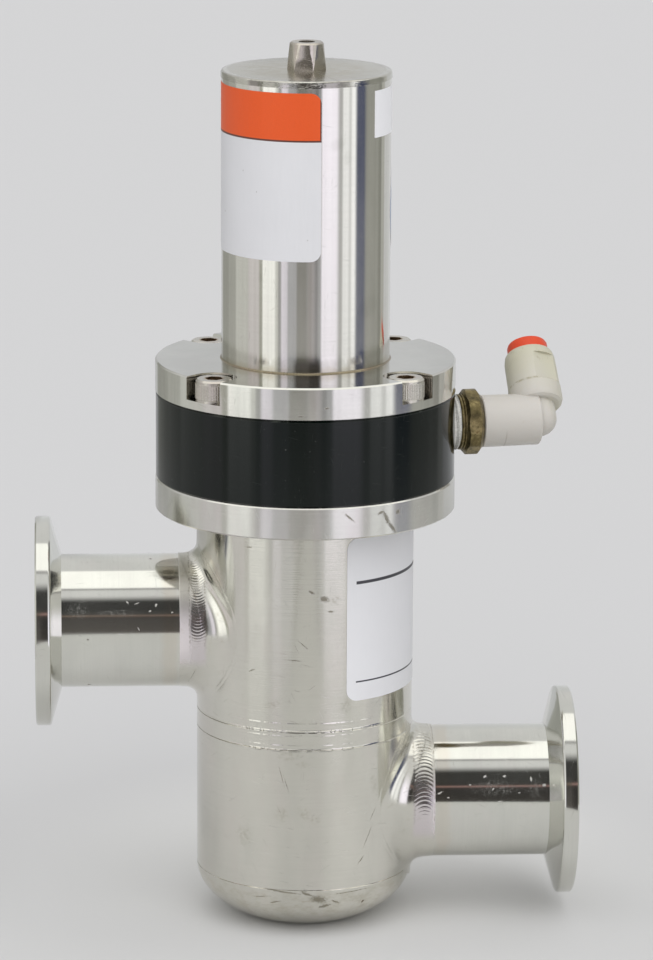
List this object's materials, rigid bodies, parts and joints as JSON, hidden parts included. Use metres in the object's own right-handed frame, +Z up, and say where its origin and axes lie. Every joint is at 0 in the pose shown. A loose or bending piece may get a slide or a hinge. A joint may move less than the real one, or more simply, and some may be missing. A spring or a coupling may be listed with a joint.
{
  "type": "pneumatic inline valve",
  "caption": "Air-operated inline vacuum valve with offset side clamp-flange ports, bellows-sealed poppet, spring housing and a swivelling push-in air elbow.",
  "frame": {"origin": "centre of the flat spot under the dished bottom, on the valve's own axis", "axes": "+Z up along the valve axis towards the vent plug, +X along the lower port, -X along the upper port"},
  "size_m": [0.1028, 0.0568, 0.1691],
  "materials": {
    "body_steel": "satin stainless steel, lightly blasted, with faint scratches",
    "port_steel": "polished stainless steel tube",
    "flange_steel": "turned stainless steel, bright edges",
    "tube_steel": "drawn stainless steel tube, long fine lines",
    "bellows_steel": "thin formed stainless steel sheet",
    "screw_steel": "stainless steel fasteners, knurled heads",
    "plug_steel": "turned nickel-plated plug",
    "spring_steel": "drawn spring wire",
    "piston_alloy": "machined aluminium",
    "black_anodised": "black anodised aluminium",
    "bronze": "sintered bronze",
    "stud_brass": "tarnished brass",
    "nylon": "off-white moulded nylon, slightly yellowed",
    "button_orange": "orange-red moulded acetal",
    "rubber": "black seal rubber",
    "thread_sealant": "white thread sealant",
    "label_white": "white film label",
    "label_orange": "printed orange field on film label"
  },
  "bodies": {
    "valve_body": {"end_cap": "body_steel", "lower_tube": "body_steel", "seat_ring": "body_steel", "upper_tube": "body_steel", "lower_port_collar": "body_steel", "upper_port_collar": "body_steel", "lower_port": "port_steel", "upper_port": "port_steel", "body_flange": "flange_steel", "bonnet": "flange_steel", "bonnet_oring": "rubber", "stem_bush": "bronze", "stem_oring": "rubber", "bellows_top_cuff": "flange_steel", "bellows": "bellows_steel", "air_cylinder": "black_anodised", "cylinder_orings": "rubber", "top_flange": "flange_steel", "cap_screws": "screw_steel", "spring": "spring_steel", "spring_tube": "tube_steel", "tube_cap": "flange_steel", "vent_plug": "plug_steel", "air_stud": "stud_brass", "stud_oring": "rubber"},
    "poppet_assembly": {"bellows_bottom_cuff": "flange_steel", "poppet": "flange_steel", "poppet_seal": "rubber", "seal_retainer": "flange_steel", "retainer_screw": "screw_steel", "stem": "flange_steel", "piston": "piston_alloy", "piston_seal": "rubber", "piston_washer": "screw_steel", "piston_nut": "screw_steel"},
    "elbow": {"elbow_body": "nylon", "tube_seal": "rubber", "collet": "spring_steel"},
    "button": {"release_button": "button_orange"}
  },
  "joints": [
    {"name": "poppet_lift", "type": "slide", "parent": "valve_body", "child": "poppet_assembly", "axis": [0, 0, 1], "range_m": [0, 0.0085], "stiffness_N_per_m": 3000, "springref_m": -0.003, "deforming": ["spring", "bellows"]},
    {"name": "elbow_swivel", "type": "hinge", "parent": "valve_body", "child": "elbow", "pos_m": [0.04516, 0.00635, 0.09545], "axis": [0.9903, 0.1392, 0], "continuous": true},
    {"name": "release_press", "type": "slide", "parent": "elbow", "child": "button", "axis": [0.0949, -0.6754, -0.7314], "range_m": [0, 0.0008], "stiffness_N_per_m": 300, "springref_m": -0.0005}
  ]
}
